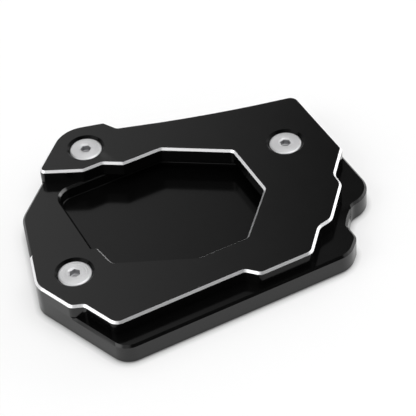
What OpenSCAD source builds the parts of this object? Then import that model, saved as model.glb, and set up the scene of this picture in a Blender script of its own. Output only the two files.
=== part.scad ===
// Foot enlarger for a motorcycle side stand.
// A thick base plate has a pocket for the foot of the stand. A C-shaped clamp plate lies on it,
// reaches over the edges of the foot with a lip, and is held by three countersunk screws.
// X runs along the front edge, Y goes to the rear, Z is up, and the bottom face lies at Z = 0.

/* [Pocket for the foot of the stand] */
// Length of the pocket
pocket_l = 57.2; // [54:0.2:62]
// Width of the pocket
pocket_w = 55.5; // [53:0.1:61]
// Depth of the pocket
pocket_depth = 4.2; // [3:0.1:5]
// Corner radius of the pocket
pocket_r = 5; // [2:0.5:6]
// Chamfer round the mouth of the pocket
pocket_edge = 0.7; // [0.3:0.1:1]
// Width of the lip of the clamp plate over the edge of the pocket
lip = 3.7; // [2.5:0.1:4.5]

/* [Plates round the pocket] */
// Width of the left side of the base plate, from its left corner to the pocket
left_side = 21.5; // [20.5:0.1:23]
// Width of its right side, from the pocket to the right wall
right_side = 26.5; // [25:0.1:30]
// Width of its front side, from the front wall to the pocket
front_side = 13.9; // [12.7:0.1:15]
// Width of its rear side, from the pocket to the top of the rear boss
rear_side = 19.9; // [18.5:0.1:23]
// Thickness of the base plate
base_t = 7; // [6:0.1:9]
// Thickness of the clamp plate
clamp_t = 4.6; // [4.2:0.1:6]

/* [Edges] */
// Dark chamfer round the top and bottom of the base plate
base_edge = 0.7; // [0.2:0.1:0.8]
// Bright chamfer cut round the top of the clamp plate
clamp_edge = 0.65; // [0.3:0.05:0.9]
// Chamfer at the lower mouths of the tapped holes
tap_edge = 0.4; // [0.2:0.1:0.6]

/* [Left side] */
// Height of the left corner above the front wall
left_corner_y = 31.5; // [28:0.1:34]
// Corner radius there
left_corner_r = 7; // [2:0.5:9]
// Slope of the wall from the front wall up to the left corner, in degrees
front_left_angle = 68; // [64:1:72]
// Slope of the wall above the left corner, in degrees
left_angle = 75; // [72:1:78]
// Slope of the shoulder that runs up to the rear boss, in degrees
shoulder_angle = 45; // [42:1:48]
// Radius where the left wall meets the shoulder
shoulder_r = 9; // [3:0.5:12]
// How far the clamp plate stands proud of the base plate along the shoulder
shoulder_lap = 0.6; // [0:0.1:1]
// Radius of the front left corner of the base plate
front_left_r = 6; // [1:0.5:8]

/* [Rear side] */
// Radius of the rounded boss round the rear screw
boss_r = 10.6; // [9:0.1:12]
// Slope of the long rear edge, in degrees below level
rear_angle = 16.2; // [14:0.2:18]
// Depth of the step from the boss to the long rear edge
rear_step = 3.7; // [2:0.1:4.4]
// Distance from the rear screw to the start of that step
rear_step_x = 7.3; // [6:0.1:9]
// How far that edge bows in at its middle
rear_bow = 0.9; // [0.3:0.1:1.5]
// Radius of the rear right corner
rear_right_r = 3.2; // [1:0.2:6]

/* [Right side of the base plate] */
// Height of the corner of the right lobe above the front wall
right_lobe_y = 19; // [17.6:0.2:21]
// Slope of the lower side of the lobe, in degrees
right_lobe_angle = 9.5; // [5:0.5:12]
// Radius of the right lobe
right_lobe_r = 8.5; // [5:0.5:8.5]
// Depth of the notch beside the right lobe, in from the right wall
notch_x = 14.5; // [13:0.1:15.5]
// Slope of the wall that leads down into the notch, in degrees
notch_angle = 52; // [50:1:56]
// Height of the bottom of the notch above the front wall
notch_y = 10.7; // [10:0.1:11.6]
// Radius at the top of the notch
notch_r = 4.5; // [1:0.5:4.5]
// Size of the cut across the front right corner
front_right_cut = 5.1; // [4.6:0.1:7]
// Radius at the lower end of that cut
front_right_r = 7.5; // [5:0.5:7.5]
// Radius at its upper end
cut_corner_r = 4; // [2:0.5:4]

/* [Opening of the clamp plate] */
// Length of the right side of the opening
opening_side = 20; // [18:0.2:23]
// Height of that side's lower end above the front of the opening
opening_side_y = 15.4; // [14:0.2:17.6]
// Slope of the cut between the right side and the rear, in degrees
opening_rear_angle = 34.4; // [32:0.2:37]
// Slope of the cut between the right side and the front, in degrees
opening_front_angle = 47.6; // [45:0.2:50]
// Distance from the left wall of the pocket to the middle of the step in the rear side
opening_step_x = 19.4; // [18:0.1:20]
// Slope of that step, in degrees
opening_step_angle = 34; // [30:1:40]
// Distance from the left wall of the pocket to the start of the slanted end of the rear arm
arm_mouth_x = 10.2; // [8.5:0.1:12]
// Slope of the slanted end of the rear arm, in degrees
arm_mouth_angle = 28; // [26:1:32]
// Radius of the tip of the rear arm
arm_tip_r = 1.8; // [1.5:0.1:2.4]
// Length of the front side of the opening
opening_front_l = 15.8; // [13:0.1:19]
// Slope of the cut along the front arm, in degrees
front_arm_angle = 26.6; // [25:0.2:28]

/* [Front arm of the clamp plate] */
// Height of the outer corner of the arm's end above the left corner
arm_end_y = 13; // [11:0.1:15]
// Slope of the arm's end, in degrees
arm_end_angle = 23; // [21:1:25]
// Lean of the short inner side of the arm, in from the pocket's wall
arm_side_lean = 1.1; // [0.6:0.1:1.6]
// Height above the front wall to which the clamp plate is flush with the base plate
flush_y = 18.7; // [16.5:0.1:20]
// Length of the jog where it draws back from the wall
jog_x = 4; // [3:0.1:5]
// Ledge of the base plate in front of the clamp plate
front_ledge = 5.9; // [4.5:0.1:6.5]
// Slope of the edge that runs down to the front ledge, in degrees
arm_side_angle = 68; // [65:0.5:71]
// Radius of the front left corner of the clamp plate
clamp_corner_r = 3.4; // [1.6:0.2:4.4]

/* [Front and right edges of the clamp plate] */
// Distance from the left end of the base plate to the step in the front edge
front_step_x = 55.5; // [52:0.1:60]
// Depth of the step in the front edge
front_step = 3.7; // [2:0.1:4.2]
// Slope of the step in the front edge, in degrees
front_step_angle = 47; // [40:1:60]
// Ledge of the base plate to the right of the clamp plate
right_ledge = 0.9; // [0:0.1:1.5]
// Height of the corner where the right edge ends, above the front wall
cut_y = 36.6; // [34:0.1:39]
// Slope of the long cut across the front right, in degrees
cut_angle = 49; // [47:0.5:51]
// Length of the upper stretch of that cut
upper_cut = 12; // [10:0.1:14]
// Length of its middle stretch
middle_cut = 15.8; // [14:0.1:17]
// Length of the jog between those two
upper_jog = 4.5; // [3.6:0.1:5]
// Length of the jog below the middle stretch
lower_jog = 4.8; // [3.6:0.1:5.4]
// Turn of each jog away from the cut, in degrees
cut_jog_turn = 37.5; // [32:0.5:42]
// Radius of the blunt corners at these jogs
cut_jog_r = 4; // [2:0.5:5]
// Radius of the hollow corners beside them
cut_hollow_r = 3.5; // [1:0.5:4]
// Radius of the blunt corners at the front jog and at the front step
jog_r = 2.5; // [1.6:0.1:2.8]
// Radius of the lower end of the cut
cut_end_r = 3.2; // [1.6:0.2:4]
// Radius of the upper end of the cut
cut_top_r = 1.5; // [1.5:0.1:3]

/* [Screws] */
// Thread diameter
thread_d = 5; // [4:0.5:6]
// Length of a screw, head included
screw_l = 10; // [8:0.5:11]
// Diameter of the screw head
head_d = 10; // [9:0.1:11]
// Height of the straight rim of the head
head_rim = 0.4; // [0.2:0.05:0.5]
// Width across the flats of the hexagon socket
socket_w = 3; // [2:0.5:4]
// Depth of the socket
socket_depth = 1.9; // [1.2:0.1:2.2]
// How far the head lies below the face of the clamp plate
head_recess = 0.4; // [0:0.1:0.8]
// Gap between the head and its seat, measured square to the axis
seat_gap = 0.05; // [0.02:0.01:0.1]
// Gap round the thread in its tapped hole, measured on the radius
thread_gap = 0.05; // [0.02:0.01:0.1]
// Gap round the thread in the clamp plate, measured on the radius
shank_gap = 0.25; // [0.1:0.05:0.4]
// Distance from the left end to the left screw
left_screw_x = 11.6; // [11:0.1:13]
// Height of the left screw above the front wall
left_screw_y = 30.8; // [28:0.1:33]
// Distance from the left end to the rear screw
rear_screw_x = 36.7; // [35:0.1:40]
// Distance from the right wall to the right screw
right_screw_x = 14.3; // [12.5:0.1:15.5]
// Height of the right screw above the front wall
right_screw_y = 48.4; // [44:0.1:52]

/* [Hidden] */

// How far cuts run past the faces they open, and a smaller run for the chamfers
over = 1;
spare = 0.2;
// Largest turn of one step along a rounded corner, in degrees, and the radius past which steps
// get finer, so that wide arcs stay smooth too
arc_step = 7.5;
arc_r = 12;
// Radius of crisp outer corners, which stay rounded inside the chamfer
small_r = clamp_edge + 0.8;
// Room that the bow of the rear edge leaves for the corners at its ends
bow_room = 6;
// Radius of the inner corners, as a cutter leaves them
inner_r = 1.8;
// Facets of the round holes and heads
round_fn = 96;
// Colours of the two materials
anodised = [0.13, 0.13, 0.14];
stainless = [0.78, 0.78, 0.79];

// Overall size of the base plate, from the pocket and the sides round it
body_l = left_side + pocket_l + right_side;
body_w = front_side + pocket_w + rear_side;

// Reference lines of the plan
left = -body_l / 2;
right = body_l / 2;
front = -body_w / 2;
rear = body_w / 2;
total_t = base_t + clamp_t;
pocket_left = left + left_side;
pocket_right = pocket_left + pocket_l;
pocket_front = front + front_side;
pocket_rear = pocket_front + pocket_w;
opening_right = pocket_right - lip;
opening_front = pocket_front + lip;
opening_rear = pocket_rear - lip;
clamp_front = front + front_ledge;
clamp_right = right - right_ledge;

// Centres of the three screws
left_screw = [left + left_screw_x, front + left_screw_y];
rear_screw = [left + rear_screw_x, rear - boss_r];
right_screw = [right - right_screw_x, front + right_screw_y];
SCREWS = [["left_screw", left_screw], ["rear_screw", rear_screw], ["right_screw", right_screw]];

// Height of the heads, and diameter of the countersinks at the face of the clamp plate. Heads and
// countersinks have a right angle as their included angle.
head_top = total_t - head_recess;
sink_d = head_d + 2 * (head_recess + head_rim + seat_gap);
tap_d = thread_d + 2 * tap_edge;

// Point at a distance along a heading
function step_from(p, heading, distance) = p + distance * [cos(heading), sin(heading)];

// Where the line through p with one heading crosses the line through q with another
function crossing(p, heading_p, q, heading_q) =
    let (u = [cos(heading_p), sin(heading_p)],
         v = [cos(heading_q), sin(heading_q)],
         w = q - p)
    p + u * (w.x * v.y - w.y * v.x) / (u.x * v.y - u.y * v.x);

// Turn at the middle one of three points, positive where an outline bends to the left
function turn_at(a, b, c) =
    let (u = b - a, v = c - b)
    atan2(u.x * v.y - u.y * v.x, u * v);

// A closed outline of [x, y, radius] corners, with its rounded corners as arcs and all its sides
// moved out by grow. Arcs keep their number of steps, so outlines that differ in grow match.
function outline(corners, grow = 0) = [
    for (i = [0:len(corners) - 1])
        let (n = len(corners),
             a = corners[(i + n - 1) % n],
             b = corners[i],
             c = corners[(i + 1) % n],
             turn = turn_at([a.x, a.y], [b.x, b.y], [c.x, c.y]),
             bulge = sign(turn),
             start = atan2(b.y - a.y, b.x - a.x) - 90 * bulge,
             middle = start + turn / 2,
             centre = step_from([b.x, b.y], middle, -b.z / cos(turn / 2)),
             steps = max(1, ceil(abs(turn) / arc_step * max(1, sqrt(b.z / arc_r)))))
        for (k = [0:steps])
            step_from(centre, start + turn * k / steps, b.z + bulge * grow)
];

// Ring with a three-sided section that cuts a 45 degree chamfer along an outline. The face that
// is chamfered lies at height z, side is 1 on a wall's outside and -1 in a pocket, and up is 1 on
// a top face and -1 on a bottom face.
module chamfer_cutter(corners, z, edge, side = 1, up = 1) {
    inner = outline(corners, -side * (edge + spare));
    outer = outline(corners, side * spare);
    count = len(inner);
    points = concat(
        [for (p = inner) [p.x, p.y, z + up * spare]],
        [for (p = outer) [p.x, p.y, z - up * (edge + spare)]],
        [for (p = outer) [p.x, p.y, z + up * spare]]
    );
    faces = [
        for (ring = [0:2])
            for (k = [0:count - 1])
                let (next = (k + 1) % count, a = ring * count, b = (ring + 1) % 3 * count)
                side * up > 0
                    ? [b + k, b + next, a + next, a + k]
                    : [a + k, a + next, b + next, b + k]
    ];
    polyhedron(points, faces);
}

// Corners that the walls of both plates share: the left corner, the rear boss with the step beside
// it, and the shoulder between them
left_turn = 180 - front_left_angle - left_angle;
left_corner = [
    left - left_corner_r * (cos((left_angle - front_left_angle) / 2) / cos(left_turn / 2) - 1),
    front + left_corner_y
];
rear_heading = 180 - rear_angle;
boss_corner = crossing(step_from(rear_screw, 90 + shoulder_angle, boss_r), shoulder_angle,
                       step_from(rear_screw, 90 - rear_angle, boss_r), rear_heading);
step_top = step_from(step_from(rear_screw, 90 - rear_angle, boss_r), -rear_angle, rear_step_x);
step_foot = step_from(step_top, -rear_angle - 45, rear_step * sqrt(2));

// The long rear edge of both plates bows in along one wide arc. Its corner lies twice as far in as
// the arc, and leaves room for the corners at both ends.
base_rear_right = crossing(step_foot, -rear_angle, [right, 0], 90);
half_edge = norm(base_rear_right - step_foot) / 2;
rear_middle = (step_foot + base_rear_right) / 2;
bow_corner = step_from(rear_middle, -90 - rear_angle, 2 * rear_bow);
bow_half_turn = atan2(2 * rear_bow, half_edge);
bow_r = (half_edge - bow_room) / tan(bow_half_turn);

// Outline of the base plate, counterclockwise from the front left corner, as [x, y, radius]
front_left = crossing(left_corner, -front_left_angle, [0, front], 0);
notch_left = right - notch_x;
notch_bottom = [notch_left, front + notch_y];
lobe = [right, front + right_lobe_y];
notch_top = crossing(notch_bottom, notch_angle, lobe, right_lobe_angle);
shoulder_in = step_from(boss_corner, shoulder_angle - 90, shoulder_lap);
base_boss = crossing(shoulder_in, shoulder_angle, boss_corner, rear_heading);
shoulder = crossing(left_corner, left_angle, shoulder_in, shoulder_angle);
base_corners = [
    [front_left.x, front, front_left_r],
    [notch_left - front_right_cut, front, front_right_r],
    [notch_left, front + front_right_cut, cut_corner_r],
    [notch_bottom.x, notch_bottom.y, small_r],
    [notch_top.x, notch_top.y, notch_r],
    [lobe.x, lobe.y, right_lobe_r],
    [right, base_rear_right.y, rear_right_r],
    [bow_corner.x, bow_corner.y, bow_r],
    [step_foot.x, step_foot.y, small_r],
    [step_top.x, step_top.y, small_r],
    [base_boss.x, base_boss.y, boss_r],
    [shoulder.x, shoulder.y, shoulder_r],
    [left_corner.x, left_corner.y, left_corner_r]
];

// Clamp plate: the slanted end of the rear arm and the rear side of the opening, with its step
arm_mouth = [pocket_left + arm_mouth_x, pocket_rear];
arm_tip = crossing(arm_mouth, 180 - arm_mouth_angle, boss_corner, shoulder_angle);
step_middle = [pocket_left + opening_step_x, pocket_rear - lip / 2];
step_head = crossing(step_middle, -opening_step_angle, [0, pocket_rear], 0);
step_base = crossing(step_middle, -opening_step_angle, [0, opening_rear], 0);

// The right side of the opening, and the cuts that lead from it to the rear and to the front
side_foot = [opening_right, opening_front + opening_side_y];
side_head = [opening_right, side_foot.y + opening_side];
cut_head = crossing(side_head, -opening_rear_angle, [0, opening_rear], 0);
cut_foot = crossing(side_foot, opening_front_angle, [0, opening_front], 0);

// The front side of the opening, and the inside and the end of the front arm
arm_cut = [cut_foot.x - opening_front_l, opening_front];
arm_end = crossing(left_corner, left_angle, [0, left_corner.y + arm_end_y], 0);
arm_end_inner = crossing(arm_end, -arm_end_angle, [pocket_left, 0], 90);
arm_side_foot = crossing(arm_cut, -front_arm_angle, [pocket_left + arm_side_lean, 0], 90);

// The jog where the outer edge leaves the wall, and the front edge with its step
flush_end = crossing(left_corner, -front_left_angle, [0, front + flush_y], 0);
jog_end = step_from(flush_end, -arm_end_angle, jog_x);
clamp_front_left = crossing(jog_end, -arm_side_angle, [0, clamp_front], 0);
low_front = clamp_front - front_step;
front_step_middle = [left + front_step_x, clamp_front - front_step / 2];
front_step_head = crossing(front_step_middle, -front_step_angle, [0, clamp_front], 0);
front_step_foot = crossing(front_step_middle, -front_step_angle, [0, low_front], 0);

// The long cut across the front right, from its upper end down, and the right edge
cut_top = [clamp_right, front + cut_y];
jog_1_top = step_from(cut_top, cut_angle, -upper_cut);
jog_1_foot = step_from(jog_1_top, cut_angle + cut_jog_turn, -upper_jog);
jog_2_top = step_from(jog_1_foot, cut_angle, -middle_cut);
jog_2_foot = step_from(jog_2_top, cut_angle - cut_jog_turn, -lower_jog);
cut_end = crossing(jog_2_foot, cut_angle, [0, low_front], 0);
clamp_rear_right = crossing(bow_corner, bow_half_turn - rear_angle, [clamp_right, 0], 90);

// Outline of the clamp plate, from the tip of the rear arm round the opening to the end of the
// front arm, and back along the outer edge, as [x, y, radius]
clamp_corners = [
    [arm_tip.x, arm_tip.y, arm_tip_r],
    [arm_mouth.x, arm_mouth.y, small_r],
    [step_head.x, step_head.y, inner_r],
    [step_base.x, step_base.y, small_r],
    [cut_head.x, cut_head.y, inner_r],
    [side_head.x, side_head.y, inner_r],
    [side_foot.x, side_foot.y, inner_r],
    [cut_foot.x, cut_foot.y, inner_r],
    [arm_cut.x, arm_cut.y, inner_r],
    [arm_side_foot.x, arm_side_foot.y, inner_r],
    [arm_end_inner.x, arm_end_inner.y, small_r],
    [arm_end.x, arm_end.y, small_r],
    [left_corner.x, left_corner.y, left_corner_r],
    [flush_end.x, flush_end.y, jog_r],
    [jog_end.x, jog_end.y, inner_r],
    [clamp_front_left.x, clamp_front_left.y, clamp_corner_r],
    [front_step_head.x, front_step_head.y, inner_r],
    [front_step_foot.x, front_step_foot.y, jog_r],
    [cut_end.x, cut_end.y, cut_end_r],
    [jog_2_foot.x, jog_2_foot.y, cut_hollow_r],
    [jog_2_top.x, jog_2_top.y, cut_jog_r],
    [jog_1_foot.x, jog_1_foot.y, cut_jog_r],
    [jog_1_top.x, jog_1_top.y, cut_hollow_r],
    [cut_top.x, cut_top.y, cut_top_r],
    [clamp_rear_right.x, clamp_rear_right.y, rear_right_r],
    [bow_corner.x, bow_corner.y, bow_r],
    [step_foot.x, step_foot.y, small_r],
    [step_top.x, step_top.y, small_r],
    [boss_corner.x, boss_corner.y, boss_r]
];

// Outline of the pocket. Its cut corners keep the lip at one width.
rear_cut_p = step_from(side_head, 90 - opening_rear_angle, lip);
front_cut_p = step_from(side_foot, opening_front_angle - 90, lip);
arm_cut_p = step_from(arm_cut, -90 - front_arm_angle, lip);
pocket_corners = [
    for (c = [
        crossing(arm_cut_p, -front_arm_angle, [0, pocket_front], 0),
        crossing(front_cut_p, opening_front_angle, [0, pocket_front], 0),
        crossing(front_cut_p, opening_front_angle, [pocket_right, 0], 90),
        crossing(rear_cut_p, -opening_rear_angle, [pocket_right, 0], 90),
        crossing(rear_cut_p, -opening_rear_angle, [0, pocket_rear], 0),
        [pocket_left, pocket_rear],
        crossing(arm_cut_p, -front_arm_angle, [pocket_left, 0], 90)
    ])
        [c.x, c.y, pocket_r]
];

// Thick lower plate with the pocket and three tapped holes right through
module base_plate() {
    color(anodised)
    difference() {
        linear_extrude(height = base_t)
        polygon(outline(base_corners));
        // The top chamfer stops at the clamp plate, so the walls of both plates meet without a groove
        difference() {
            chamfer_cutter(base_corners, base_t, base_edge);
            translate([0, 0, base_t - base_edge - over])
            linear_extrude(height = base_edge + 2 * over)
            polygon(outline(clamp_corners, spare));
        }
        chamfer_cutter(base_corners, 0, base_edge, up = -1);
        translate([0, 0, base_t - pocket_depth])
        linear_extrude(height = pocket_depth + over)
        polygon(outline(pocket_corners));
        chamfer_cutter(pocket_corners, base_t, pocket_edge, side = -1);
        for (s = SCREWS)
            translate([s[1].x, s[1].y, -over]) {
                cylinder(h = base_t + 2 * over, d = thread_d, $fn = round_fn);
                cylinder(h = tap_d / 2 + over, d1 = tap_d + 2 * over, d2 = 0, $fn = round_fn);
            }
    }
}

// C-shaped upper plate with its bright cut edge and three countersunk holes
module clamp_plate() {
    color(anodised)
    translate([0, 0, base_t])
    difference() {
        linear_extrude(height = clamp_t)
        polygon(outline(clamp_corners));
        chamfer_cutter(clamp_corners, clamp_t, clamp_edge);
        for (s = SCREWS)
            translate([s[1].x, s[1].y, 0]) {
                translate([0, 0, -over])
                cylinder(h = clamp_t + 2 * over, d = thread_d + 2 * shank_gap, $fn = round_fn);
                translate([0, 0, clamp_t - sink_d / 2])
                cylinder(h = sink_d / 2 + over, d1 = 0, d2 = sink_d + 2 * over, $fn = round_fn);
            }
    }
}

// Countersunk screw with a hexagon socket, its head at the top. The thread is a plain cylinder.
module screw(centre) {
    shank_r = thread_d / 2 - thread_gap;
    color(stainless)
    translate([centre.x, centre.y, head_top])
    difference() {
        rotate_extrude($fn = round_fn)
        polygon([
            [0, 0],
            [head_d / 2, 0],
            [head_d / 2, -head_rim],
            [shank_r, -head_rim - head_d / 2 + shank_r],
            [shank_r, -screw_l],
            [0, -screw_l]
        ]);
        translate([0, 0, -socket_depth])
        cylinder(h = socket_depth + over, d = socket_w / cos(30), $fn = 6);
    }
}

base_plate();
clamp_plate();
for (s = SCREWS)
    screw(s[1]);
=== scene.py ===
"""Looks of a foot enlarger for a motorcycle side stand, laid out as an add-on.

Two black anodised plates come from the frame as merged copies, with the bright cut edge of the
upper one as a finish of its own. Three stainless screws are made by one node tree.
"""

import math

import bmesh
import bpy
from bpy.props import FloatProperty, FloatVectorProperty, IntProperty, PointerProperty
from mathutils import Matrix, Vector


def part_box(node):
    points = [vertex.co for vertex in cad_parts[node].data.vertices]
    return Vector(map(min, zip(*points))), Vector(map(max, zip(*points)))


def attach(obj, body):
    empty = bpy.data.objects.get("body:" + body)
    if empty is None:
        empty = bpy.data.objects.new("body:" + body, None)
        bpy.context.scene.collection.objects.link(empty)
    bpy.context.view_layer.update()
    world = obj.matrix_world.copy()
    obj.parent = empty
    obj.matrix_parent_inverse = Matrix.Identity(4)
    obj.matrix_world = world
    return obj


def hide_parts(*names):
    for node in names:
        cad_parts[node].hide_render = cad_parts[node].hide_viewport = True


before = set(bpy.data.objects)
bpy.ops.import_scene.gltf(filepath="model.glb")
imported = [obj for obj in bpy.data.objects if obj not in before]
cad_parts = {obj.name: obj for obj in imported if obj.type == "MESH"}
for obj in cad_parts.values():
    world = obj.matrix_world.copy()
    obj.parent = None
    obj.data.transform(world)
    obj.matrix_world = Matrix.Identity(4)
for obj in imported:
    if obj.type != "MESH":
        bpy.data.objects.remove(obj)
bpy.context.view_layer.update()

bl_info = {
    "name": "Side stand foot enlarger",
    "version": (1, 0, 0),
    "blender": (4, 5, 0),
    "location": "3D View > Sidebar > Foot enlarger",
    "description": "Builds the plates, the screws and the stage of a side stand foot enlarger",
    "category": "Object",
}

MM = 0.001
SCREW_NODES = ("left_screw", "rear_screw", "right_screw")
# Turn of the hexagon socket of each screw, in degrees
SOCKET_TURNS = (12, 40, 22)
# Places of a Mix node's colour sockets among its inputs and outputs
MIX_A, MIX_B, MIX_RESULT = 6, 7, 2

# Faces that differ less than this from their neighbours are one flat face
FLAT = math.radians(0.5)
# A face lies level where its normal's Z is above this, and is a chamfer of about 45 degrees where
# it is between the next two
LEVEL = 0.99
CHAMFER_LOW, CHAMFER_HIGH = 0.5, 0.85
# How far below the top of each plate a face still counts as part of its top edge
BASE_EDGE = 1 * MM
CLAMP_EDGE = 1.5 * MM
# How far round the pocket's floor the chamfer of its mouth is looked for
MOUTH_REACH = 2 * MM
# Radius round a screw in which the countersink lies, as a share of the head's diameter
SINK_REACH = 0.6
# Where the front ledge of the base plate ends, to the right and to the rear
LEDGE_END = Vector((20 * MM, -26 * MM, 0))
# Where the front wall of the clamp plate ends, to the rear
FRONT_WALL_END = -30 * MM

# Parts of each plate, with the refractive index of the oxide layer there. The body and the clamp
# have the real index.
# Elsewhere it paints light: it is highest for a painted highlight on the chamfer of the pocket's
# mouth, and lower for painted shade on the front ledge, the clamp's front wall and the
# countersinks, where it is lowest. The pocket floor reflects a little less than the body.
BASE_FINISH_AND_SHEEN = (
    ("body", 1.46),
    ("pocket floor", 1.38),
    ("pocket mouth", 2.2),
    ("front ledge", 1.32),
)
CLAMP_FINISH_AND_SHEEN = (("clamp", 1.46), ("countersink", 1.15), ("front wall", 1.24))
# Places of these among each plate's materials. The bare edge comes after them.
POCKET_FLOOR, POCKET_MOUTH, FRONT_LEDGE = 1, 2, 3
COUNTERSINK, FRONT_WALL, CUT_EDGE = 1, 2, 3
# Share by which clouds in the dye make it darker and lighter
DYE_SPREAD = 0.15

# Distance between the turned rings on the screws' heads, in millimetres
RING_GAP = 0.7
# Depths below the head's face between which painted shade darkens the walls of a socket
SOCKET_SHADE_START, SOCKET_SHADE_FULL = 0.2 * MM, 0.8 * MM
# Edges of the screws that bend more than this stay sharp
SCREW_CREASE = math.radians(35)


def linear(code):
    """Linear colour of an sRGB hex value."""
    parts = [int(code[i : i + 2], 16) / 255 for i in (1, 3, 5)]
    return tuple(
        p / 12.92 if p <= 0.04045 else ((p + 0.055) / 1.055) ** 2.4 for p in parts
    )


def add(tree, kind, links=None, **settings):
    """Adds a node to a tree, with its settings, and links or sets its inputs."""
    node = tree.nodes.new(kind)
    for name, value in settings.items():
        setattr(node, name, value)
    for name, value in (links or {}).items():
        socket = node.inputs[name]
        if isinstance(value, bpy.types.NodeSocket):
            tree.links.new(value, socket)
        else:
            socket.default_value = value
    return node


class PlateSizes(bpy.types.PropertyGroup):
    """How the plates' meshes are finished."""

    crease: FloatProperty(
        name="Crease angle",
        description="Edges that bend more than this stay sharp",
        default=math.radians(25),
        subtype="ANGLE",
    )
    weld: FloatProperty(
        name="Weld distance",
        description="Corners closer than this become one",
        default=0.002 * MM,
        unit="LENGTH",
        precision=6,
    )
    floor_radius: FloatProperty(
        name="Floor radius",
        description="Radius that the cutter leaves round the floor of the pocket",
        default=0.25 * MM,
        unit="LENGTH",
        precision=5,
    )


class ScrewSizes(bpy.types.PropertyGroup):
    """Sizes of the countersunk screws. Head and length come from the frame."""

    thread: FloatProperty(
        name="Thread diameter",
        description="Diameter over the crests of the thread",
        default=4.9 * MM,
        unit="LENGTH",
        precision=5,
    )
    pitch: FloatProperty(
        name="Pitch",
        description="Rise of the thread in one turn",
        default=0.8 * MM,
        unit="LENGTH",
        precision=5,
    )
    rim: FloatProperty(
        name="Rim height",
        description="Height of the straight rim of the head",
        default=0.4 * MM,
        unit="LENGTH",
        precision=5,
    )
    edge: FloatProperty(
        name="Edge break",
        description="Size of the rounded edge at the top of the head",
        default=0.19 * MM,
        unit="LENGTH",
        precision=5,
    )
    socket: FloatProperty(
        name="Socket width",
        description="Width across the flats of the hexagon socket",
        default=3 * MM,
        unit="LENGTH",
        precision=5,
    )
    socket_depth: FloatProperty(
        name="Socket depth",
        description="Depth of the flats of the socket",
        default=1.9 * MM,
        unit="LENGTH",
        precision=5,
    )
    around: IntProperty(
        name="Steps around",
        description="Number of steps around a screw",
        default=72,
        min=24,
    )


class Finishes(bpy.types.PropertyGroup):
    """Colours of the real materials, and of the painted shade deep in the screws' sockets."""

    anodised: FloatVectorProperty(
        name="Anodised black",
        description="Dyed oxide layer of both plates",
        default=linear("#070707"),
        subtype="COLOR",
    )
    cut_edge: FloatVectorProperty(
        name="Cut edge",
        description="Bare aluminium of the edge that is cut after anodising",
        default=linear("#F2F2F3"),
        subtype="COLOR",
    )
    stainless: FloatVectorProperty(
        name="Stainless steel",
        description="Turned heads of the screws",
        default=linear("#D6D6D7"),
        subtype="COLOR",
    )
    # Painted shade: the colour of the socket walls deep below the head's face
    painted_socket_shade: FloatVectorProperty(
        name="Socket walls",
        description="Broached steel inside the screws' sockets",
        default=linear("#BCBCBE"),
        subtype="COLOR",
    )
    floor: FloatVectorProperty(
        name="Floor",
        description="Matt white card",
        default=linear("#F4F4F4"),
        subtype="COLOR",
    )


class StageSettings(bpy.types.PropertyGroup):
    """Camera and floor."""

    camera_place: FloatVectorProperty(
        name="Camera",
        description="Where the camera stands",
        default=(-0.14235, -0.34730, 0.3576),
        subtype="TRANSLATION",
    )
    camera_target: FloatVectorProperty(
        name="Target",
        description="Point at the middle of the picture",
        default=(0.00909, 0.00101, 0.0),
        subtype="TRANSLATION",
    )
    camera_roll: FloatProperty(
        name="Roll",
        description="Turn of the camera about its line of sight",
        default=-0.0961,
        subtype="ANGLE",
    )
    lens: FloatProperty(
        name="Focal length",
        description="Focal length on a 36 mm wide frame, in millimetres",
        default=147.1,
    )
    floor_size: FloatProperty(
        name="Floor size",
        description="Length of the floor's sides",
        default=8.0,
        unit="LENGTH",
    )
    floor_drop: FloatProperty(
        name="Floor drop",
        description="Gap that keeps the floor clear of the underside, which is at zero",
        default=0.02 * MM,
        unit="LENGTH",
        precision=6,
    )


GROUPS = {
    "enlarger_plates": PlateSizes,
    "enlarger_screws": ScrewSizes,
    "enlarger_finishes": Finishes,
    "enlarger_stage": StageSettings,
}


def anodised_aluminium(place_name, ior):
    """Black anodised aluminium: a smooth dyed oxide layer over milled metal. It shows soft, dim
    reflections of what is around it, and only at close range the fine marks of the cutter."""
    material = bpy.data.materials.new(f"Anodised aluminium, {place_name}")
    material.use_nodes = True
    tree = material.node_tree
    shader = tree.nodes["Principled BSDF"]
    place = add(tree, "ShaderNodeTexCoord").outputs["Object"]
    # Marks of the cutter run along X, 0.3 mm apart
    stretch = add(
        tree,
        "ShaderNodeMapping",
        {"Vector": place, "Scale": (1 / (12 * MM), 1 / (0.3 * MM), 1 / (0.3 * MM))},
    )
    marks = add(
        tree,
        "ShaderNodeTexNoise",
        {"Vector": stretch.outputs["Vector"], "Scale": 1.0, "Detail": 2.0},
    )
    # Slight clouding of the dye, a few millimetres across
    cloud = add(
        tree,
        "ShaderNodeTexNoise",
        {"Vector": place, "Scale": 1 / (6 * MM), "Detail": 3.0},
    )
    rough = add(
        tree,
        "ShaderNodeMapRange",
        {
            "Value": cloud.outputs["Fac"],
            "From Min": 0.3,
            "From Max": 0.7,
            "To Min": 0.12,
            "To Max": 0.15,
        },
    )
    colour = bpy.context.scene.enlarger_finishes.anodised
    shade = add(
        tree,
        "ShaderNodeMix",
        {
            "Factor": cloud.outputs["Fac"],
            MIX_A: (*[c * (1 - DYE_SPREAD) for c in colour], 1),
            MIX_B: (*[c * (1 + DYE_SPREAD) for c in colour], 1),
        },
        data_type="RGBA",
    ).outputs[MIX_RESULT]
    bump = add(
        tree,
        "ShaderNodeBump",
        {"Height": marks.outputs["Fac"], "Distance": 0.0015 * MM},
    )
    tree.links.new(shade, shader.inputs["Base Color"])
    tree.links.new(rough.outputs["Result"], shader.inputs["Roughness"])
    tree.links.new(bump.outputs["Normal"], shader.inputs["Normal"])
    # The index given for this place sets how strongly it reflects: raised for a painted highlight
    # at the pocket's mouth, lowered for painted shade on the front ledge, the clamp's front wall
    # and the countersinks
    shader.inputs["IOR"].default_value = ior
    return material


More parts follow.
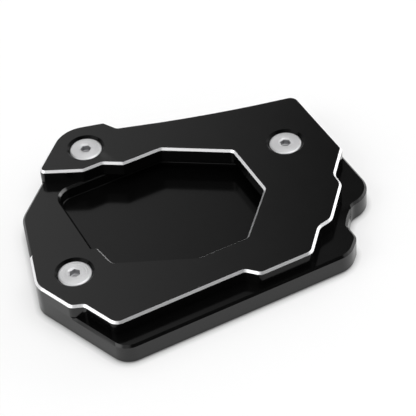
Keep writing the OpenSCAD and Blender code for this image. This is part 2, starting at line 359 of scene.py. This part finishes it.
def cut_aluminium():
    """Bare aluminium of the edge, cut bright after the anodising. Its fine lines across the edge
    spread each reflection a little."""
    material = bpy.data.materials.new("Cut aluminium")
    material.use_nodes = True
    tree = material.node_tree
    shader = tree.nodes["Principled BSDF"]
    place = add(tree, "ShaderNodeTexCoord").outputs["Object"]
    lines = add(
        tree,
        "ShaderNodeTexNoise",
        {"Vector": place, "Scale": 1 / (0.15 * MM), "Detail": 1.0},
    )
    rough = add(
        tree,
        "ShaderNodeMapRange",
        {"Value": lines.outputs["Fac"], "To Min": 0.30, "To Max": 0.40},
    )
    bump = add(
        tree,
        "ShaderNodeBump",
        {"Height": lines.outputs["Fac"], "Distance": 0.002 * MM},
    )
    colour = bpy.context.scene.enlarger_finishes.cut_edge
    shader.inputs["Base Color"].default_value = (*colour, 1)
    shader.inputs["Metallic"].default_value = 1.0
    tree.links.new(rough.outputs["Result"], shader.inputs["Roughness"])
    tree.links.new(bump.outputs["Normal"], shader.inputs["Normal"])
    return material


def turned_steel(top):
    """Stainless steel, turned: satin rings about each screw's axis, from the UV map that holds the
    distance from that axis in millimetres. They are drawn coarser than real ones, to show. The
    walls of the socket get darker with their depth below top, as painted shade in the recess."""
    material = bpy.data.materials.new("Turned stainless steel")
    material.use_nodes = True
    tree = material.node_tree
    shader = tree.nodes["Principled BSDF"]
    local = add(tree, "ShaderNodeUVMap", uv_map="UVMap").outputs["UV"]
    distance = add(
        tree, "ShaderNodeVectorMath", {0: local}, operation="LENGTH"
    ).outputs["Value"]
    phase = add(
        tree,
        "ShaderNodeMath",
        {0: distance, 1: 2 * math.pi / RING_GAP},
        operation="MULTIPLY",
    ).outputs[0]
    rings = add(tree, "ShaderNodeMath", {0: phase}, operation="SINE")
    place = add(tree, "ShaderNodeTexCoord").outputs["Object"]
    grain = add(
        tree,
        "ShaderNodeTexNoise",
        {"Vector": place, "Scale": 1 / (0.3 * MM), "Detail": 2.0},
    )
    relief = add(
        tree,
        "ShaderNodeMath",
        {0: rings.outputs[0], 1: 0.5, 2: grain.outputs["Fac"]},
        operation="MULTIPLY_ADD",
    )
    bump = add(
        tree,
        "ShaderNodeBump",
        {"Height": relief.outputs[0], "Distance": 0.045 * MM},
    )
    rough = add(
        tree,
        "ShaderNodeMapRange",
        {"Value": grain.outputs["Fac"], "To Min": 0.38, "To Max": 0.50},
    )
    # Painted shade: the walls of the socket turn darker with their depth below the head's face
    near_face = add(
        tree,
        "ShaderNodeMapRange",
        {
            "Value": add(tree, "ShaderNodeSeparateXYZ", {"Vector": place}).outputs["Z"],
            "From Min": top - SOCKET_SHADE_FULL,
            "From Max": top - SOCKET_SHADE_START,
        },
    )
    finishes = bpy.context.scene.enlarger_finishes
    shade = add(
        tree,
        "ShaderNodeMix",
        {
            "Factor": near_face.outputs["Result"],
            MIX_A: (*finishes.painted_socket_shade, 1),
            MIX_B: (*finishes.stainless, 1),
        },
        data_type="RGBA",
    )
    tree.links.new(shade.outputs[MIX_RESULT], shader.inputs["Base Color"])
    shader.inputs["Metallic"].default_value = 1.0
    tree.links.new(rough.outputs["Result"], shader.inputs["Roughness"])
    tree.links.new(bump.outputs["Normal"], shader.inputs["Normal"])
    return material


def level_faces(work, at_top):
    """Faces that look straight up: those at the top of the base plate, or those that lie lower."""
    top = max(vert.co.z for vert in work.verts)
    return [
        face
        for face in work.faces
        if face.normal.z > LEVEL
        and (face.calc_center_median().z > top - BASE_EDGE) == at_top
    ]


def round_floor(work, radius):
    """Rounds the edge between the floor of the pocket and its walls."""
    floors = level_faces(work, at_top=False)
    if not floors:
        raise RuntimeError("no pocket floor was found in the base plate")
    floor = max(floors, key=lambda face: face.calc_area())
    bmesh.ops.bevel(
        work,
        geom=list(floor.edges),
        offset=radius,
        segments=3,
        profile=0.5,
        affect="EDGES",
    )


def part_ledge(work):
    """Cuts the top face of the base plate where its front ledge ends."""
    for way in ((1, 0, 0), (0, 1, 0)):
        parts = set()
        for face in level_faces(work, at_top=True):
            parts.update((face, *face.edges, *face.verts))
        bmesh.ops.bisect_plane(work, geom=list(parts), plane_co=LEDGE_END, plane_no=way)


def merged_copy(node, name, floor_radius=0.0):
    """Merged copy of a CAD node's mesh, as an object of its own, with flat faces kept flat. The
    base plate also gets a radius round the floor of its pocket."""
    sizes = bpy.context.scene.enlarger_plates
    mesh = bpy.data.meshes.new(name)
    work = bmesh.new()
    work.from_mesh(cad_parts[node].data)
    bmesh.ops.remove_doubles(work, verts=work.verts, dist=sizes.weld)
    bmesh.ops.dissolve_limit(work, angle_limit=FLAT, verts=work.verts, edges=work.edges)
    if floor_radius:
        round_floor(work, floor_radius)
        part_ledge(work)
    for face in work.faces:
        face.smooth = True
    work.to_mesh(mesh)
    work.free()
    mesh.set_sharp_from_angle(angle=sizes.crease)
    piece = bpy.data.objects.new(name, mesh)
    bpy.context.scene.collection.objects.link(piece)
    return piece


def plain(piece):
    """Turns a piece with modifiers into a plain mesh."""
    graph = bpy.context.evaluated_depsgraph_get()
    mesh = bpy.data.meshes.new_from_object(
        piece.evaluated_get(graph), preserve_all_data_layers=True, depsgraph=graph
    )
    piece.modifiers.clear()
    piece.data = mesh


def bake_normals(piece):
    """Weights the normals by face area, so that long flat walls stay flat beside their corners."""
    weigh = piece.modifiers.new("Weighted normals", "WEIGHTED_NORMAL")
    weigh.keep_sharp = True
    weigh.mode = "FACE_AREA"
    plain(piece)


def screw_centres():
    """Axis of each screw, with the height of its head, and the head's diameter and length."""
    places = []
    for node in SCREW_NODES:
        low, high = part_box(node)
        middle = (low + high) / 2
        places.append(Vector((middle.x, middle.y, high.z)))
    return places, high.x - low.x, high.z - low.z


class ENLARGER_OT_base_plate(bpy.types.Operator):
    """Makes the lower plate with the pocket"""

    bl_idname = "enlarger.base_plate"
    bl_label = "Base plate"

    def execute(self, context):
        radius = context.scene.enlarger_plates.floor_radius
        piece = merged_copy("base_plate", "base_plate_look", radius)
        bake_normals(piece)
        mesh = piece.data
        for place, ior in BASE_FINISH_AND_SHEEN:
            mesh.materials.append(anodised_aluminium(place, ior))
        edge_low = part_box("base_plate")[1].z - BASE_EDGE
        floor = max(
            (f for f in mesh.polygons if f.normal.z > LEVEL and f.center.z < edge_low),
            key=lambda f: f.area,
        )
        floor.material_index = POCKET_FLOOR
        corners = [mesh.vertices[i].co for i in floor.vertices]
        low, high = (
            Vector((pick(c.x for c in corners), pick(c.y for c in corners)))
            for pick in (min, max)
        )
        # The chamfer of the pocket's mouth gets a painted highlight and the front ledge painted
        # shade, from their materials' refractive index
        for face in mesh.polygons:
            if face.center.z < edge_low:
                continue
            near_pocket = all(
                low[i] - MOUTH_REACH < face.center[i] < high[i] + MOUTH_REACH
                for i in (0, 1)
            )
            in_front = face.center.x < LEDGE_END.x and face.center.y < LEDGE_END.y
            if near_pocket and CHAMFER_LOW < face.normal.z < CHAMFER_HIGH:
                face.material_index = POCKET_MOUTH
            elif in_front and face.normal.z > LEVEL:
                face.material_index = FRONT_LEDGE
        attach(piece, "root")
        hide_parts("base_plate")
        return {"FINISHED"}


class ENLARGER_OT_clamp_plate(bpy.types.Operator):
    """Makes the upper plate with its bright cut edge"""

    bl_idname = "enlarger.clamp_plate"
    bl_label = "Clamp plate"

    def execute(self, context):
        piece = merged_copy("clamp_plate", "clamp_plate_look")
        bake_normals(piece)
        mesh = piece.data
        for place, ior in CLAMP_FINISH_AND_SHEEN:
            mesh.materials.append(anodised_aluminium(place, ior))
        mesh.materials.append(cut_aluminium())
        centres, head, _ = screw_centres()
        edge_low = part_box("clamp_plate")[1].z - CLAMP_EDGE
        # The countersinks and the front wall get painted shade from their materials' lower
        # refractive index
        for face in mesh.polygons:
            from_screw = min(
                (face.center.xy - centre.xy).length for centre in centres
            )
            if from_screw < SINK_REACH * head:
                if face.normal.z < CHAMFER_HIGH:
                    face.material_index = COUNTERSINK
            elif CHAMFER_LOW < face.normal.z < CHAMFER_HIGH and face.center.z > edge_low:
                face.material_index = CUT_EDGE
            elif face.normal.z < CHAMFER_LOW and face.center.y < FRONT_WALL_END:
                face.material_index = FRONT_WALL
        if not any(face.material_index == CUT_EDGE for face in mesh.polygons):
            raise RuntimeError("no cut edge was found on the clamp plate")
        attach(piece, "root")
        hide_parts("clamp_plate")
        return {"FINISHED"}


# Rows of a screw's grid: those of the head's profile, those of the thread, and one at the tip
HEAD_ROWS = 6
THREAD_ROWS = 84
SCREW_ROWS = HEAD_ROWS + THREAD_ROWS + 1
# Radius of a ring of corners on the head's face, as a share of the head's radius
FACE_RING = 0.55
# Rounded edge of the head, in edge breaks: how far in from the rim it begins, how far below the
# face its middle lies, and how far below the face it ends
EDGE_INWARD, EDGE_MIDDLE, EDGE_DOWN = 3.0, 0.8, 2.0
# Flat at the crest and at the root of the thread, as a share of half a pitch
THREAD_FLAT = 0.12
# In pitches: the thread's depth, where under the head it begins to grow to that depth within one
# turn, and how much smaller the radius of the tip is
THREAD_DEPTH, THREAD_START, TIP_LEAD = 0.6, 0.3, 0.7
# The rest are shares of the distance from the socket's axis to its corners. The cone that breaks
# its edge has a radius at its foot and its top, a height and a place of its foot.
MOUTH_FOOT, MOUTH_TOP, MOUTH_HEIGHT, MOUTH_PLACE = 0.85, 1.25, 0.2, -0.16
# The drilled point has a radius at its top, a height, and a tip that lies a little less than that
# height below the hexagon, so that the two overlap.
DRILL_TOP, DRILL_HEIGHT, DRILL_PLACE = 0.82, 0.5, -0.499

# Sums of the screw's tree: the name of each result, the operation, and what it works on. That is
# an input of the tree, the place x and y on the grid, an earlier result or a number.
SCREW_SUMS = (
    # Sizes of the head and the shank
    ("head_r", "MULTIPLY", "Head diameter", 0.5),
    ("shank_r", "MULTIPLY", "Thread diameter", 0.5),
    ("cone", "SUBTRACT", "head_r", "shank_r"),
    ("under_head", "ADD", "cone", "Rim height"),
    # Profile of the head
    ("ring_r", "MULTIPLY", "head_r", FACE_RING),
    ("face_r", "MULTIPLY_ADD", "Edge break", -EDGE_INWARD, "head_r"),
    ("edge_r", "SUBTRACT", "head_r", "Edge break"),
    ("edge_z", "MULTIPLY", "Edge break", -EDGE_MIDDLE),
    ("rim_z", "MULTIPLY", "Edge break", -EDGE_DOWN),
    ("rim_end_z", "MULTIPLY", "Rim height", -1.0),
    # Columns of the grid go round the axis, and rows go down
    ("turn", "ADD", "x", 0.5),
    ("angle", "MULTIPLY", "turn", 2 * math.pi),
    ("down", "ADD", "y", 0.5),
    ("row", "MULTIPLY", "down", SCREW_ROWS - 1),
    ("row", "ROUND", "row"),
    ("profile", "MINIMUM", "row", HEAD_ROWS),
    # Depth of each row of the thread, which winds down the shank
    ("share", "SUBTRACT", "row", HEAD_ROWS),
    ("share", "DIVIDE", "share", THREAD_ROWS - 1),
    ("share", "MINIMUM", "share", 1.0),
    ("share", "MAXIMUM", "share", 0.0),
    ("run", "SUBTRACT", "Length", "under_head"),
    ("depth", "MULTIPLY_ADD", "share", "run", "under_head"),
    ("winding", "DIVIDE", "depth", "Pitch"),
    ("winding", "ADD", "winding", "turn"),
    # The groove is a V with flats
    ("groove", "FRACT", "winding"),
    ("groove", "MULTIPLY_ADD", "groove", 2.0, -1.0),
    ("groove", "ABSOLUTE", "groove"),
    ("groove", "SUBTRACT", "groove", THREAD_FLAT),
    ("groove", "DIVIDE", "groove", 1 - 2 * THREAD_FLAT),
    ("groove", "MINIMUM", "groove", 1.0),
    ("groove", "MAXIMUM", "groove", 0.0),
    # It runs out under the head
    ("started", "SUBTRACT", "depth", "under_head"),
    ("started", "DIVIDE", "started", "Pitch"),
    ("started", "SUBTRACT", "started", THREAD_START),
    ("started", "MINIMUM", "started", 1.0),
    ("started", "MAXIMUM", "started", 0.0),
    ("groove", "MULTIPLY", "groove", "started"),
    ("full_depth", "MULTIPLY", "Pitch", THREAD_DEPTH),
    ("groove", "MULTIPLY", "groove", "full_depth"),
    ("thread_r", "SUBTRACT", "shank_r", "groove"),
    # A small lead at the tip limits the radius, and the last row closes it
    ("to_tip", "SUBTRACT", "Length", "depth"),
    ("lead", "MULTIPLY", "Pitch", TIP_LEAD),
    ("tip_r", "SUBTRACT", "shank_r", "lead"),
    ("limit", "ADD", "to_tip", "tip_r"),
    ("thread_r", "MINIMUM", "thread_r", "limit"),
    ("still_open", "LESS_THAN", "row", SCREW_ROWS - 1.5),
    ("thread_r", "MULTIPLY", "thread_r", "still_open"),
    ("thread_z", "MULTIPLY", "depth", -1.0),
    # Hexagon of the socket, the cone that breaks its edge, and the drilled point
    ("corner_r", "DIVIDE", "Socket width", math.sqrt(3)),
    ("hexagon_height", "MULTIPLY", "Socket depth", 2.0),
    ("mouth_foot", "MULTIPLY", "corner_r", MOUTH_FOOT),
    ("mouth_top", "MULTIPLY", "corner_r", MOUTH_TOP),
    ("mouth_height", "MULTIPLY", "corner_r", MOUTH_HEIGHT),
    ("mouth_z", "MULTIPLY", "corner_r", MOUTH_PLACE),
    ("drill_top", "MULTIPLY", "corner_r", DRILL_TOP),
    ("drill_height", "MULTIPLY", "corner_r", DRILL_HEIGHT),
    ("drill_z", "MULTIPLY", "corner_r", DRILL_PLACE),
    ("drill_z", "SUBTRACT", "drill_z", "Socket depth"),
)
# Radius and height of the head's rows from the middle of its face on, and of the thread's rows
SCREW_PROFILE = (
    (0.0, 0.0),
    ("ring_r", 0.0),
    ("face_r", 0.0),
    ("edge_r", "edge_z"),
    ("head_r", "rim_z"),
    ("head_r", "rim_end_z"),
    ("thread_r", "thread_z"),
)
# Cones cut out of the head: sides, radius at the foot and at the top, height, place of the foot
SOCKET_CONES = (
    (24, 0.0, "drill_top", "drill_height", "drill_z"),
    (6, "mouth_foot", "mouth_top", "mouth_height", "mouth_z"),
)
# Corners of the screws closer than this become one, before the socket is cut and after
LATHE_WELD = 0.002 * MM
CUT_WELD = 0.001 * MM
# Fewer faces than this mean that the tree made no screws
LEAST_FACES = 100


def screw_tree():
    """Node tree that puts a countersunk screw on each point of a mesh. The screw is a grid that is
    bent round its axis, with a socket cut out of it."""
    tree = bpy.data.node_groups.new("Countersunk screw", "GeometryNodeTree")
    sockets = tree.interface
    sockets.new_socket("Geometry", in_out="INPUT", socket_type="NodeSocketGeometry")
    for name in (
        "Head diameter",
        "Length",
        "Thread diameter",
        "Pitch",
        "Rim height",
        "Edge break",
        "Socket width",
        "Socket depth",
    ):
        sockets.new_socket(name, in_out="INPUT", socket_type="NodeSocketFloat")
    sockets.new_socket("Steps around", in_out="INPUT", socket_type="NodeSocketInt")
    sockets.new_socket("Material", in_out="INPUT", socket_type="NodeSocketMaterial")
    sockets.new_socket("Geometry", in_out="OUTPUT", socket_type="NodeSocketGeometry")

    given = add(tree, "NodeGroupInput").outputs
    position = add(tree, "GeometryNodeInputPosition").outputs[0]
    spot = add(tree, "ShaderNodeSeparateXYZ", {"Vector": position}).outputs
    found = {"x": spot["X"], "y": spot["Y"]}
    found.update((socket.name, socket) for socket in given)
    for name, operation, *inputs in SCREW_SUMS:
        values = {i: found.get(value, value) for i, value in enumerate(inputs)}
        found[name] = add(tree, "ShaderNodeMath", values, operation=operation).outputs[0]

    grid = add(
        tree,
        "GeometryNodeMeshGrid",
        {
            "Size X": 1.0,
            "Size Y": 1.0,
            "Vertices X": given["Steps around"],
            "Vertices Y": SCREW_ROWS,
        },
    )
    pick = add(
        tree, "GeometryNodeIndexSwitch", {"Index": found["profile"]}, data_type="VECTOR"
    )
    while len(pick.index_switch_items) < len(SCREW_PROFILE):
        pick.index_switch_items.new()
    for i, (radius, height) in enumerate(SCREW_PROFILE):
        point = add(
            tree,
            "ShaderNodeCombineXYZ",
            {"X": found.get(radius, radius), "Z": found.get(height, height)},
        )
        tree.links.new(point.outputs["Vector"], pick.inputs[i + 1])
    placed = add(
        tree,
        "ShaderNodeVectorRotate",
        {"Vector": pick.outputs[0], "Angle": found["angle"]},
        rotation_type="Z_AXIS",
    )
    lathe = add(
        tree,
        "GeometryNodeSetPosition",
        {"Geometry": grid.outputs["Mesh"], "Position": placed.outputs["Vector"]},
    )
    body = add(
        tree,
        "GeometryNodeMergeByDistance",
        {"Geometry": lathe.outputs["Geometry"], "Distance": LATHE_WELD},
    )

    cut = add(
        tree,
        "GeometryNodeMeshBoolean",
        {"Mesh 1": body.outputs["Geometry"]},
        operation="DIFFERENCE",
        solver="EXACT",
    )
    for sides, foot, top, height, place in SOCKET_CONES:
        cone = add(
            tree,
            "GeometryNodeMeshCone",
            {
                "Vertices": sides,
                "Radius Top": found[top],
                "Radius Bottom": found.get(foot, foot),
                "Depth": found[height],
            },
        )
        lift = add(tree, "ShaderNodeCombineXYZ", {"Z": found[place]})
        moved = add(
            tree,
            "GeometryNodeTransform",
            {"Geometry": cone.outputs["Mesh"], "Translation": lift.outputs["Vector"]},
        )
        tree.links.new(moved.outputs["Geometry"], cut.inputs["Mesh 2"])
    hexagon = add(
        tree,
        "GeometryNodeMeshCylinder",
        {
            "Vertices": 6,
            "Radius": found["corner_r"],
            "Depth": found["hexagon_height"],
        },
    )
    tree.links.new(hexagon.outputs["Mesh"], cut.inputs["Mesh 2"])

    # The UV map holds millimetres from the screw's axis, for the turned rings
    flat = add(
        tree,
        "ShaderNodeVectorMath",
        {0: position, "Scale": 1 / MM},
        operation="SCALE",
    )
    level = add(
        tree,
        "ShaderNodeVectorMath",
        {0: flat.outputs["Vector"], 1: (1.0, 1.0, 0.0)},
        operation="MULTIPLY",
    )
    mapped = add(
        tree,
        "GeometryNodeStoreNamedAttribute",
        {
            "Geometry": cut.outputs["Mesh"],
            "Name": "UVMap",
            "Value": level.outputs["Vector"],
        },
        data_type="FLOAT2",
        domain="CORNER",
    )
    angle = add(
        tree, "GeometryNodeInputNamedAttribute", {"Name": "turn"}, data_type="FLOAT"
    )
    spread = add(
        tree,
        "GeometryNodeInstanceOnPoints",
        {
            "Points": given["Geometry"],
            "Instance": mapped.outputs["Geometry"],
            "Rotation": add(
                tree, "ShaderNodeCombineXYZ", {"Z": angle.outputs["Attribute"]}
            ).outputs["Vector"],
        },
    )
    real = add(
        tree,
        "GeometryNodeRealizeInstances",
        {"Geometry": spread.outputs["Instances"]},
    )
    finish = add(
        tree,
        "GeometryNodeSetMaterial",
        {"Geometry": real.outputs["Geometry"], "Material": given["Material"]},
    )
    add(tree, "NodeGroupOutput", {"Geometry": finish.outputs["Geometry"]})
    return tree


class ENLARGER_OT_screws(bpy.types.Operator):
    """Makes the three countersunk screws with one node tree"""

    bl_idname = "enlarger.screws"
    bl_label = "Screws"

    def execute(self, context):
        sizes = context.scene.enlarger_screws
        centres, head, length = screw_centres()
        mesh = bpy.data.meshes.new("screws")
        mesh.from_pydata([tuple(centre) for centre in centres], [], [])
        turns = mesh.attributes.new("turn", "FLOAT", "POINT")
        for item, degrees in zip(turns.data, SOCKET_TURNS):
            item.value = math.radians(degrees)
        piece = bpy.data.objects.new("screws", mesh)
        context.scene.collection.objects.link(piece)
        modifier = piece.modifiers.new("Countersunk screws", "NODES")
        modifier.node_group = screw_tree()
        values = {
            "Head diameter": head,
            "Length": length,
            "Thread diameter": sizes.thread,
            "Pitch": sizes.pitch,
            "Rim height": sizes.rim,
            "Edge break": sizes.edge,
            "Socket width": sizes.socket,
            "Socket depth": sizes.socket_depth,
            "Steps around": sizes.around + 1,
            "Material": turned_steel(centres[0].z),
        }
        for item in modifier.node_group.interface.items_tree:
            if item.in_out == "INPUT" and item.name in values:
                modifier[item.identifier] = values[item.name]
        plain(piece)
        if len(piece.data.polygons) < LEAST_FACES:
            raise RuntimeError("the screws' node tree made no mesh")
        work = bmesh.new()
        work.from_mesh(piece.data)
        bmesh.ops.remove_doubles(work, verts=work.verts, dist=CUT_WELD)
        bmesh.ops.recalc_face_normals(work, faces=work.faces)
        for face in work.faces:
            face.smooth = True
        work.to_mesh(piece.data)
        work.free()
        piece.data.set_sharp_from_angle(angle=SCREW_CREASE)
        bake_normals(piece)
        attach(piece, "root")
        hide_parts(*SCREW_NODES)
        return {"FINISHED"}


# The world is white at the horizon. It dims between these heights in degrees, to this brightness.
HORIZON = (12, 34)
SKY = 0.03
# Soft lights of the studio: direction, angles in degrees at which each one starts to fade and is
# gone, and how bright it is
LIGHTS = (
    ((0.25, -0.08, 0.96), 12, 34, 2.5),
    ((0.85, 0.38, 0.36), 8, 18, 2.0),
    ((0.97, 0.05, 0.23), 8, 20, 0.8),
    ((0.86, -0.28, 0.43), 6, 16, 0.9),
    ((0.66, -0.55, 0.52), 6, 16, 0.8),
    ((-0.50, -0.49, 0.71), 8, 26, 0.7),
    ((-0.78, -0.02, 0.62), 8, 25, 2.5),
)
# Softbox behind the object, which shows in the top faces. It fades along one way, between two
# shares of a ray's direction that go that way.
REAR_LIGHT = ((0.10, 0.70, 0.70), 22, 36, 0.85)
FADE_WAY = (1.0, 0.0, 0.4)
FADE_RANGE = (0.44, 0.66)


def soft_light(tree, way, direction, full, gone, strength):
    """Brightness of one soft light, for a ray that goes one way."""
    towards = add(
        tree,
        "ShaderNodeVectorMath",
        {0: way, 1: Vector(direction).normalized()},
        operation="DOT_PRODUCT",
    )
    return add(
        tree,
        "ShaderNodeMapRange",
        {
            "Value": towards.outputs["Value"],
            "From Min": math.cos(math.radians(gone)),
            "From Max": math.cos(math.radians(full)),
            "To Max": strength,
        },
        interpolation_type="SMOOTHSTEP",
    ).outputs["Result"]


def studio_light(scene):
    """World of soft lights, white at the horizon and dim above it."""
    world = bpy.data.worlds.new("Studio")
    scene.world = world
    world.use_nodes = True
    tree = world.node_tree
    background = tree.nodes["Background"]
    way = add(tree, "ShaderNodeTexCoord").outputs["Generated"]
    height = add(tree, "ShaderNodeSeparateXYZ", {"Vector": way}).outputs["Z"]
    total = add(
        tree,
        "ShaderNodeMapRange",
        {
            "Value": height,
            "From Min": math.sin(math.radians(HORIZON[0])),
            "From Max": math.sin(math.radians(HORIZON[1])),
            "To Min": 1.0,
            "To Max": SKY,
        },
        interpolation_type="SMOOTHSTEP",
    ).outputs["Result"]
    for light in LIGHTS:
        total = add(
            tree,
            "ShaderNodeMath",
            {0: soft_light(tree, way, *light), 1: total},
            operation="ADD",
        ).outputs[0]
    along = add(
        tree, "ShaderNodeVectorMath", {0: way, 1: FADE_WAY}, operation="DOT_PRODUCT"
    )
    fade = add(
        tree,
        "ShaderNodeMapRange",
        {
            "Value": along.outputs["Value"],
            "From Min": FADE_RANGE[0],
            "From Max": FADE_RANGE[1],
            "To Min": 1.0,
            "To Max": 0.0,
        },
    ).outputs["Result"]
    total = add(
        tree,
        "ShaderNodeMath",
        {0: soft_light(tree, way, *REAR_LIGHT), 1: fade, 2: total},
        operation="MULTIPLY_ADD",
    ).outputs[0]
    tree.links.new(total, background.inputs["Strength"])
    background.inputs["Color"].default_value = (1, 1, 1, 1)


# Part of the card's look that comes from the light on it, and part that glows so that it is white.
# The glow fades where the object is closer than the gap, a painted contact shadow.
CARD_SHADED = 0.54
CARD_GLOW = 0.515
GAP = 2 * MM


def white_card():
    """Matt white card. Seen by the camera or in a reflection it is white, it keeps the object's
    soft shadow, and a painted contact shadow makes it dark in the narrow gap under the edge."""
    material = bpy.data.materials.new("White card")
    material.use_nodes = True
    tree = material.node_tree
    tree.nodes.remove(tree.nodes["Principled BSDF"])
    colour = bpy.context.scene.enlarger_finishes.floor
    card = add(tree, "ShaderNodeBsdfDiffuse", {"Color": (*colour, 1)})
    dimmed = add(
        tree, "ShaderNodeBsdfDiffuse", {"Color": (*[c * CARD_SHADED for c in colour], 1)}
    )
    # Painted contact shadow: occlusion within the gap dims the card's glow
    open_air = add(
        tree, "ShaderNodeAmbientOcclusion", {"Distance": GAP}
    ).outputs["AO"]
    glow = add(
        tree, "ShaderNodeMath", {0: open_air, 1: CARD_GLOW}, operation="MULTIPLY"
    ).outputs[0]
    seen = add(
        tree,
        "ShaderNodeAddShader",
        {
            0: dimmed.outputs[0],
            1: add(tree, "ShaderNodeEmission", {"Strength": glow}).outputs[0],
        },
    )
    rays = add(tree, "ShaderNodeLightPath").outputs
    looked_at = rays["Is Camera Ray"]
    for name in ("Is Glossy Ray", "Is Transmission Ray"):
        looked_at = add(
            tree,
            "ShaderNodeMath",
            {0: looked_at, 1: rays[name]},
            operation="MAXIMUM",
        ).outputs[0]
    mix = add(
        tree,
        "ShaderNodeMixShader",
        {0: looked_at, 1: card.outputs[0], 2: seen.outputs[0]},
    )
    tree.links.new(mix.outputs[0], tree.nodes["Material Output"].inputs["Surface"])
    return material


WIDTH_OF_FILM = 36
NEAREST = 10 * MM


class ENLARGER_OT_stage(bpy.types.Operator):
    """Makes the floor, the soft light and the camera"""

    bl_idname = "enlarger.stage"
    bl_label = "Stage"

    def execute(self, context):
        scene = context.scene
        settings = scene.enlarger_stage
        half = settings.floor_size / 2
        low = -settings.floor_drop
        ways = ((-half, -half), (half, -half), (half, half), (-half, half))
        mesh = bpy.data.meshes.new("floor")
        mesh.from_pydata([(*way, low) for way in ways], [], [(0, 1, 2, 3)])
        floor = bpy.data.objects.new("floor", mesh)
        scene.collection.objects.link(floor)
        mesh.materials.append(white_card())
        studio_light(scene)

        place = Vector(settings.camera_place)
        ahead = (Vector(settings.camera_target) - place).normalized()
        right = ahead.cross(Vector((0, 0, 1))).normalized()
        rows = Matrix((right, right.cross(ahead), -ahead))
        data = bpy.data.cameras.new("camera")
        data.lens = settings.lens
        data.sensor_width = WIDTH_OF_FILM
        data.clip_start = NEAREST
        camera = bpy.data.objects.new("camera", data)
        turned = rows.transposed() @ Matrix.Rotation(settings.camera_roll, 3, "Z")
        camera.matrix_world = Matrix.Translation(place) @ turned.to_4x4()
        scene.collection.objects.link(camera)
        scene.camera = camera
        scene.view_settings.view_transform = "Standard"
        return {"FINISHED"}


OPERATORS = (
    ENLARGER_OT_base_plate,
    ENLARGER_OT_clamp_plate,
    ENLARGER_OT_screws,
    ENLARGER_OT_stage,
)


class ENLARGER_PT_panel(bpy.types.Panel):
    """Lists the steps that build the foot enlarger"""

    bl_label = "Foot enlarger"
    bl_idname = "ENLARGER_PT_panel"
    bl_space_type = "VIEW_3D"
    bl_region_type = "UI"
    bl_category = "Foot enlarger"

    def draw(self, context):
        for operator in OPERATORS:
            self.layout.operator(operator.bl_idname)
        for name, group in GROUPS.items():
            box = self.layout.box()
            for prop in group.__annotations__:
                box.prop(getattr(context.scene, name), prop)


def register():
    for group in GROUPS.values():
        bpy.utils.register_class(group)
    for name, group in GROUPS.items():
        setattr(bpy.types.Scene, name, PointerProperty(type=group))
    for operator in OPERATORS:
        bpy.utils.register_class(operator)
    bpy.utils.register_class(ENLARGER_PT_panel)


def unregister():
    bpy.utils.unregister_class(ENLARGER_PT_panel)
    for operator in reversed(OPERATORS):
        bpy.utils.unregister_class(operator)
    for name in GROUPS:
        delattr(bpy.types.Scene, name)
    for group in reversed(GROUPS.values()):
        bpy.utils.unregister_class(group)


def main():
    """Builds the whole scene."""
    register()
    bpy.ops.enlarger.base_plate()
    bpy.ops.enlarger.clamp_plate()
    bpy.ops.enlarger.screws()
    bpy.ops.enlarger.stage()


if __name__ == "__main__":
    main()
